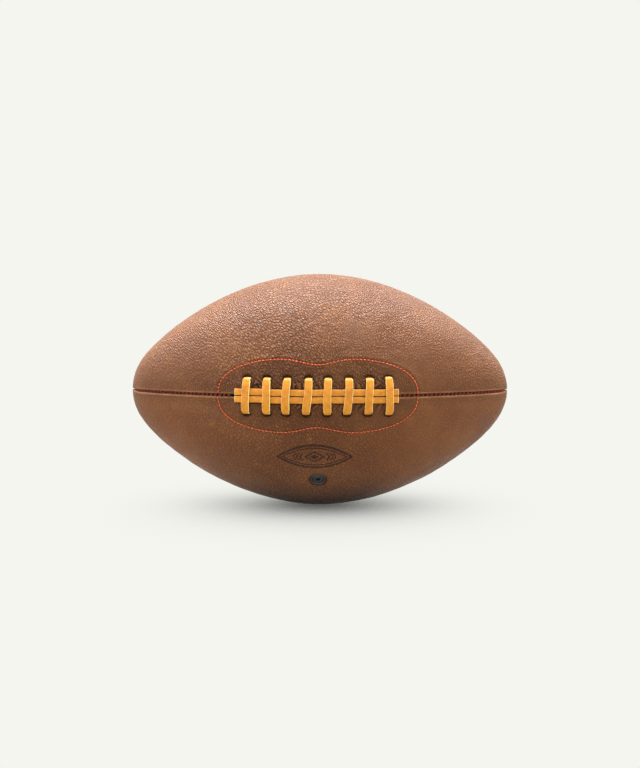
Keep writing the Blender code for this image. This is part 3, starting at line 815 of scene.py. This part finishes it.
def seam_shades(name, x, arc, along, width):
    """(painted shade, painted highlight): shade painted in the seams and along the bottom, a highlight
    painted on the rounded edges.
    """
    crest = np.minimum(along, width - along)
    slim = np.minimum(1, width / 0.030)
    # painted highlight on the crest of each rounded edge
    edge = bell((crest / slim - 0.75 * ROLL_WIDTH) / HIGHLIGHT_WIDTH)
    edge = edge * (0.75 + 0.25 * lumps(x, arc, 0.012, 31)) * step_down(-width, -0.012, 0.004)
    # painted shade in the groove of each seam
    painted_shade = step_down(crest / slim, 0.00100, 0.0003) * 0.95
    # painted shade along the bottom seam, near the floor, limited to the middle of the ball
    if name.startswith("lower"):
        from_bottom = (width - along) if name == "lower_back" else along
        shade_below = step_down(from_bottom, *BOTTOM_ARC) * step_down(np.abs(x), *BOTTOM_X)
        painted_shade = np.maximum(painted_shade, PAINTED_BOTTOM_SHADE * shade_below)
    return painted_shade, edge


def drill_valve_hole(panel, finish):
    """Cuts the valve's hole through both faces of the panel."""
    low, high = -3 * LEATHER, 2 * LEATHER
    profile = [(ON_AXIS, low), (VALVE_HOLE, low), (VALVE_HOLE, high), (ON_AXIS, high)]
    drill = facing_out(turned("drill", profile, finish))
    facing_out(panel)
    cut = panel.modifiers.new("valve_hole", "BOOLEAN")
    cut.operation = "DIFFERENCE"
    cut.solver = "EXACT"
    cut.object = drill
    drilled = panel.evaluated_get(bpy.context.evaluated_depsgraph_get())
    panel.data = bpy.data.meshes.new_from_object(drilled)
    panel.modifiers.clear()
    bpy.data.objects.remove(drill)


def make_panel(name, start_quarter, finish):
    """A leather panel from seam to seam, with its edges turned in."""
    start = start_quarter * QUARTER
    side = FRONT_SIDES.get(name, 0)
    turn = even_turns(COLUMNS, TIP_RADIUS)[:, None]
    x, radius = outline(turn)
    width = radius * QUARTER
    along, height = outer_rows(radius, side)
    angle = start + along / radius
    full_x = np.broadcast_to(x, along.shape)
    signed = angle - (2 * math.pi if name == "lower_front" else 0)
    arc = signed * radius
    painted_shade, edge = seam_shades(name, full_x, arc, along, width)
    patch = np.zeros_like(along)
    crest = np.minimum(along, width - along)
    height = height + SWELL * lumps(full_x, arc, SWELL_LENGTH, 11) * np.clip(crest / 0.01, 0, 1)
    height = height + DENT * lumps(full_x, arc, DENT_LENGTH, 12) * np.clip(crest / 0.004, 0, 1)
    if side:
        relief, more_painted_shade, patch, raised = front_relief(full_x, arc, side)
        height = height + relief
        painted_shade = np.maximum(painted_shade, more_painted_shade)
        # painted highlight on the ridges of the folds
        edge = np.maximum(edge, 0.55 * raised)
    inner = inner_wall(turn, radius, start)
    points = np.concatenate([surface(turn, angle, height), inner], axis=1)

    def for_all(values, on_wall=0.0):
        """Values of the outer rows' points, with one value for all points of the inner wall."""
        return np.concatenate([values, np.full(inner.shape[:2], on_wall)], axis=1).ravel()

    def plane(one, other):
        return np.stack([for_all(one), for_all(other), for_all(np.zeros_like(one))], axis=-1)

    run = np.cumsum(np.hypot(np.gradient(x[:, 0]), np.gradient(radius[:, 0])))[:, None]
    nearest_seam = math.pi if name.endswith("back") else 0.0  # so that the grain isn't sheared
    attributes = {
        # painted shade, with the same shade all over the inner wall
        "painted_shade": for_all(painted_shade, 0.6),
        "edge": for_all(edge),
        "patch": for_all(patch),
        "flat": plane(full_x, arc),
        "skin": plane(np.broadcast_to(-run, along.shape), (signed - nearest_seam) * radius),
    }
    made = mesh_object(f"leather_{name}", points, loft_faces(*points.shape[:2]), finish, attributes)
    if name == "lower_front":
        drill_valve_hole(made, finish)
    settle(made, "ball", f"panel_{name}")


# ---------------------------------------------------------------- lacing


def frame_on_ball(x, arc):
    """(up, along x) unit vectors of the ball's surface at (x, arc)."""
    up = on_ball(x, arc, 0.001) - on_ball(x, arc, 0.0)
    along = on_ball(x + 0.0005, arc, 0.0) - on_ball(x - 0.0005, arc, 0.0)
    up /= np.linalg.norm(up, axis=-1, keepdims=True)
    along /= np.linalg.norm(along, axis=-1, keepdims=True)
    return up, along


def make_strands(finish):
    """The two strands along the seam, a little uneven and pressed down where the lace crosses them."""
    x = np.linspace(-STRAND_END_LEFT, STRAND_END_RIGHT, 240)
    pressed = sum(bell((x - crossing) / 0.0035) for crossing in lace_places(0))
    for name, side in (("upper", 1), ("lower", -1)):
        middle = side * (STRAND_GAP + STRAND_WIDTH) / 2
        wander = 0.00016 * np.sin(x * 95) + 0.00010 * np.sin(x * 260)
        arc = middle + wander + side * 0.00015 * pressed
        lift = STRAND_LIFT + LACE_THICKNESS / 2 - 0.00020 * pressed
        lift += 0.00012 * np.sin(x * 170 + 3 * side)
        centres = on_ball(x, arc, lift)
        ups, along = frame_on_ball(x, arc)
        sides = np.cross(ups, along)
        widths = STRAND_WIDTH - 0.00020 * pressed + 0.00008 * np.sin(x * 140 + side)
        made = ribbon(f"strand_{name}", centres, ups, sides, widths, LACE_THICKNESS, finish, pale=0.3)
        settle(made, "ball", f"lace_strand_{name}")


def bend(arc, height, radius, start, end, steps=9):
    """Places round part of a circle, between two angles in degrees."""
    angles = np.radians(np.linspace(start, end, steps))
    return [(arc + radius * math.cos(a), height + radius * math.sin(a)) for a in angles]


def crossing_path():
    """(arc, height) of one turn of the lace, up through the lower hole and down through the upper."""
    under = -UNDER_DEPTH
    over = STRAND_LIFT + 1.5 * LACE_THICKNESS + 0.0001
    shoulder = over - 0.0009
    half = bend(-HOLE_ARC + UNDER_BEND, under + UNDER_BEND, UNDER_BEND, 270, 180)
    half += bend(-HOLE_ARC + TOP_BEND, shoulder - TOP_BEND, TOP_BEND, 180, 95)
    half += [(-0.0078, over - 0.0005), (-0.0058, over - 0.0001), (-0.0035, over + 0.0001), (-0.0012, over)]
    return half + [(-arc, height) for arc, height in reversed(half)]


def crossing_places(number, low, high):
    """(x, arc, height) along one turn of the lace, between the x of its lower and its upper hole."""
    reach = 1 + 0.012 * math.sin(number * 1.9 + 0.6) + (0.05 if number == CROSSINGS - 1 else 0)
    places = []
    for arc, height in crossing_path():
        share = eased(min(max((arc + HOLE_ARC) / (2 * HOLE_ARC), 0), 1))
        bow = 0.0005 * math.sin(number * 2.7) * math.sin(math.pi * share)
        reached = arc * reach if height > 0 else arc
        places.append((low + (high - low) * share + bow, reached, height))
    return places


def make_cross_lace(finish):
    """The lace that weaves from hole to hole, with its runs under the seam."""
    places = []
    for number, (low, high) in enumerate(zip(lace_places(-1), lace_places(1))):
        if places:
            start, end = np.array(places[-1]), np.array((low, *crossing_path()[0]))
            places += [tuple(start + (end - start) * share) for share in np.linspace(0, 1, 10)[1:-1]]
        places += crossing_places(number, low, high)
    places = np.array(places)
    centres = on_ball(*places.T)
    step = np.gradient(centres, axis=0)
    step /= np.linalg.norm(step, axis=1, keepdims=True)
    _, along = frame_on_ball(places[:, 0], places[:, 1])
    sides = along - (along * step).sum(axis=1, keepdims=True) * step
    sides /= np.linalg.norm(sides, axis=1, keepdims=True)
    ups = np.cross(step, sides)
    count = np.arange(len(places))
    widths = LACE_WIDTH * (1 + 0.03 * np.sin(count * 0.37) + 0.02 * np.sin(count * 0.83))
    widths *= 0.84 + 0.16 * step_down(np.abs(places[:, 1]), 0.0112, 0.0014)
    made = ribbon("woven_lace", centres, ups, sides, widths, LACE_THICKNESS, finish)
    settle(made, "ball", "cross_lace")


# ---------------------------------------------------------------- thread


def make_outline_stitches(finish):
    """Both halves of the stitched outline. Each stitch rises from the leather and dives back in."""
    for name, side in (("upper", 1), ("lower", -1)):
        x, arc, length = outline_curve(side, 4000)
        run = np.linspace(0, length, len(x))
        count = int(length / OUTLINE_PITCH)
        share = np.linspace(0, 1, 9)
        height = ON_LEATHER + 0.00030 * np.sin(math.pi * share) ** 0.5 - 0.00065 * (share * 2 - 1) ** 6
        lean = 0.00016 * (share - 0.5)
        thickness = 0.75 + 0.25 * np.sin(math.pi * share) ** 0.5
        paths = []
        for number in range(count):
            start = (length - count * OUTLINE_PITCH) / 2 + number * OUTLINE_PITCH + OUTLINE_GAP / 2
            at = start + share * (OUTLINE_PITCH - OUTLINE_GAP)
            points = on_ball(np.interp(at, run, x), np.interp(at, run, arc) + lean, height)
            paths.append((points, thickness))
        made = tubes(f"outline_stitches_{name}", paths, OUTLINE_THREAD, finish)
        settle(made, "ball", f"outline_stitch_{name}")


def seam_runs():
    """name: (quarter, first x, last x) of each sewn length of seam."""
    tip = HALF - 0.0015
    return {
        "front_left": (0, -tip, -STRAND_END_LEFT - 0.0005),
        "front_right": (0, STRAND_END_RIGHT + 0.0005, tip),
        "top": (1, -tip, tip),
        "back": (2, -tip, tip),
        "bottom": (3, -tip, tip),
    }


def make_seam_stitches(finish):
    """The slanting stitches in the valley of each seam."""
    turn = even_turns(8000, TIP_RADIUS)[::-1]
    x, radius = outline(turn)
    run = run_along(x, radius)
    share = np.linspace(0, 1, 9)
    height = -SEAM_THREAD_DEPTH + 0.00030 * np.sin(math.pi * share) - 0.0007 * np.abs(2 * share - 1) ** 4
    for name, (quarter, first, last) in seam_runs().items():
        begin, end = np.interp([first, last], x, run)
        paths = []
        for number in range(int((end - begin) / SEAM_PITCH)):
            at = begin + (number + 0.5) * SEAM_PITCH + (share - 0.5) * SEAM_STITCH
            near = np.interp(at, run, radius)
            reach = np.minimum(0.00095, 0.2 * near)
            angle = quarter * QUARTER + (2 * share - 1) * reach / near
            paths.append((surface(np.interp(at, run, turn), angle, height), np.ones(len(share))))
        made = tubes(f"seam_stitches_{name}", paths, SEAM_THREAD, finish)
        settle(made, "ball", f"seam_thread_{name}")


# ---------------------------------------------------------------- valve


def make_valve(boot_finish, plug_finish):
    """The rubber boot with its lip round the plug, and the plug with the needle's mouth."""
    top, bottom = VALVE_TOP, -0.0002 - VALVE_LENGTH
    lip = [(BOOT_LIP, top - 0.0010), (BOOT_LIP, top - 0.0001)]
    ring = bend(0.0049, top + 0.00005, 0.00045, 170, 10, 7)
    rim = [(0.0056, top - 0.0002), (0.0059, top - 0.0003), (VALVE_HEAD, top - 0.0006)]
    stem = [(VALVE_HEAD, -0.0045), (VALVE_NECK, -0.0055), (VALVE_NECK, bottom)]
    bore = [(BOOT_BORE, bottom), (BOOT_BORE, top - 0.0015), (BOOT_LIP, top - 0.0015)]
    profile = [*lip, *ring, *rim, *stem, *bore]
    boot = turned("valve_seat", [*profile, profile[0]], boot_finish)
    settle(boot, "ball", "valve_boot")

    funnel = [(ON_AXIS, top - 0.0045), (0.0012, top - 0.0044), (0.0015, top - 0.0012)]
    mouth = bend(0.0022, top - 0.0003, 0.00045, 200, 40, 7)
    face = [(0.0028, top - 0.0001), (0.0032, top), (0.0036, top - 0.0001), (PLUG_RADIUS, top - 0.0003)]
    shaft = [(PLUG_RADIUS, top - 0.0006), (PLUG_RADIUS, top - 0.0012), (PLUG_SHAFT, top - 0.0013)]
    foot = [(PLUG_SHAFT, bottom + 0.0006), (0.0022, bottom), (ON_AXIS, bottom)]
    plug = turned("needle_plug", [*funnel, *mouth, *face, *shaft, *foot], plug_finish)
    settle(plug, "valve_plug", "valve_plug")


def finish_hidden_nodes():
    """The CAD nodes that stay: linings, bladder, facings and tongue."""
    black = rubber("bladder_rubber", *BLADDER_BLACK, 0.5)
    finishes = {"lining": canvas(), "lacing": suede(), "bladder": black}
    for name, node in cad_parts.items():
        family = name.split("_")[0]
        if family in finishes:
            node.data.materials.clear()
            node.data.materials.append(finishes[family])


# ---------------------------------------------------------------- floor, light and camera


def make_floor():
    """A floor that glows like paper, with the ball's soft shadow painted into its glow where the ball
    covers it from the light.
    """
    f = Finish("pale_floor")
    lean = {"X": 0.0, "Y": math.sin(SHADOW_LEAN), "Z": math.cos(SHADOW_LEAN)}
    facing = f.add("ShaderNodeCombineXYZ", **lean).outputs["Vector"]
    occlusion = f.add("ShaderNodeAmbientOcclusion", {"samples": 12}, Distance=SHADOW_SIZE, Normal=facing)
    covered = f.sum("POWER", f.sum("SUBTRACT", 1.0, occlusion.outputs["AO"]), SHADOW_FALL)
    glow = f.mixed(f.sum("MULTIPLY", covered, SHADOW_DEPTH), PAPER, BLACK)
    f.looks(Base_Color=BLACK, Roughness=1.0, Specular_IOR_Level=0.0)
    f.looks(Emission_Color=glow, Emission_Strength=1.0)
    square = ((-1, -1), (1, -1), (1, 1), (-1, 1))
    corners = [(x * FLOOR_REACH, y * FLOOR_REACH, cad_box[0].z) for x, y in square]
    mesh_object("floor", corners, [[0, 1, 2, 3]], f.material)


def make_lights():
    """The paper all round the ball, and the four softboxes."""
    world = bpy.data.worlds.new("studio")
    world.use_nodes = True
    background = world.node_tree.nodes["Background"]
    background.inputs["Color"].default_value = (*PAPER, 1)
    background.inputs["Strength"].default_value = 1.0
    bpy.context.scene.world = world
    for name, (strength, across, forward, sideways) in SOFTBOXES.items():
        light = bpy.data.lights.new(name, "SUN")
        light.energy = strength
        light.angle = math.radians(across)
        holder = bpy.data.objects.new(name, light)
        holder.rotation_euler = (math.radians(forward), math.radians(sideways), 0)
        bpy.context.scene.collection.objects.link(holder)


def make_camera():
    """A long lens in front of the ball, a little above it."""
    level = math.cos(CAMERA_ELEVATION)
    to_side, to_front = math.sin(CAMERA_AZIMUTH) * level, math.cos(CAMERA_AZIMUTH) * level
    back = Vector((to_side, -to_front, math.sin(CAMERA_ELEVATION)))
    lens = bpy.data.cameras.new("camera")
    lens.lens = CAMERA_LENS
    lens.sensor_width = CAMERA_SENSOR
    lens.clip_start, lens.clip_end = CAMERA_RANGE
    camera = bpy.data.objects.new("camera", lens)
    camera.location = Vector(CAMERA_TARGET) + back * CAMERA_DISTANCE
    camera.rotation_mode = "QUATERNION"
    camera.rotation_quaternion = (-back).to_track_quat("-Z", "Y")
    bpy.context.scene.collection.objects.link(camera)
    bpy.context.scene.camera = camera


bpy.context.scene.view_settings.view_transform = "Standard"
leather = panel_leather()
for panel_name, first_quarter in PANEL_STARTS.items():
    make_panel(panel_name, first_quarter, leather)
lace = lace_leather()
make_strands(lace)
make_cross_lace(lace)
make_outline_stitches(thread("outline_thread", *OUTLINE_RED))
make_seam_stitches(thread("seam_thread", *SEAM_RED))
make_valve(rubber("valve_rubber", *BOOT_BLACK, 0.42), rubber("plug_rubber", *PLUG_BLACK, 0.45))
finish_hidden_nodes()
make_floor()
make_lights()
make_camera()
